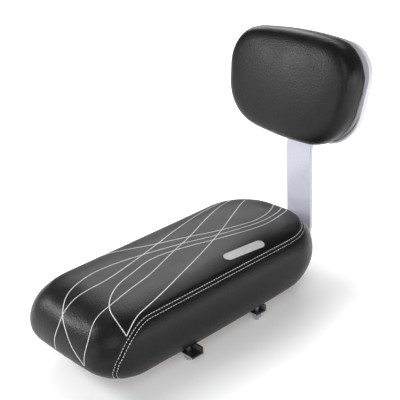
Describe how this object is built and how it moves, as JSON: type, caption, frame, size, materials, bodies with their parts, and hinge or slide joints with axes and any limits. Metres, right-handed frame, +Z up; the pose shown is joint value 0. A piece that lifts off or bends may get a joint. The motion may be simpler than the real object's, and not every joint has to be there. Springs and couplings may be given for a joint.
{
  "type": "bicycle rear rack seat with backrest",
  "caption": "Padded passenger seat for a bicycle's rear rack, with a cushioned backrest on a bent flat strap and clamp plates that grip the rack from below.",
  "frame": {"origin": "on the underside of the base board, in the middle of the seat's length and width, where the seat lies on the rack", "axes": "+X towards the front of the bicycle, +Y to the rider's left, +Z up"},
  "size_m": [0.4144, 0.1948, 0.3079],
  "materials": {
    "seat_leather": "black synthetic leather with a soft sheen",
    "back_leather": "black synthetic leather with a soft sheen",
    "foam": "cut polyurethane foam",
    "base_board": "raw plywood",
    "back_board": "raw plywood",
    "clamp_paint": "black paint, satin",
    "strap_paint": "pale lavender-white paint, glossy",
    "shell_plastic": "pale lavender-white, glossy",
    "zinc": "bright zinc plate"
  },
  "bodies": {
    "root": {"seat_base_board": "base_board", "seat_foam": "foam", "seat_top_panel": "seat_leather", "seat_side_band": "seat_leather", "clamp_plate_front": "clamp_paint", "clamp_plate_rear": "clamp_paint", "clamp_bolts": "zinc", "clamp_washers": "zinc", "clamp_nuts": "zinc", "backrest_strap": "strap_paint", "strap_bolts": "zinc", "strap_washers": "zinc", "strap_tee_nuts": "zinc", "back_board": "back_board", "back_foam": "foam", "back_cover": "back_leather", "back_shell": "shell_plastic", "back_bolts": "zinc", "back_washers": "zinc", "back_tee_nuts": "zinc"}
  },
  "joints": []
}
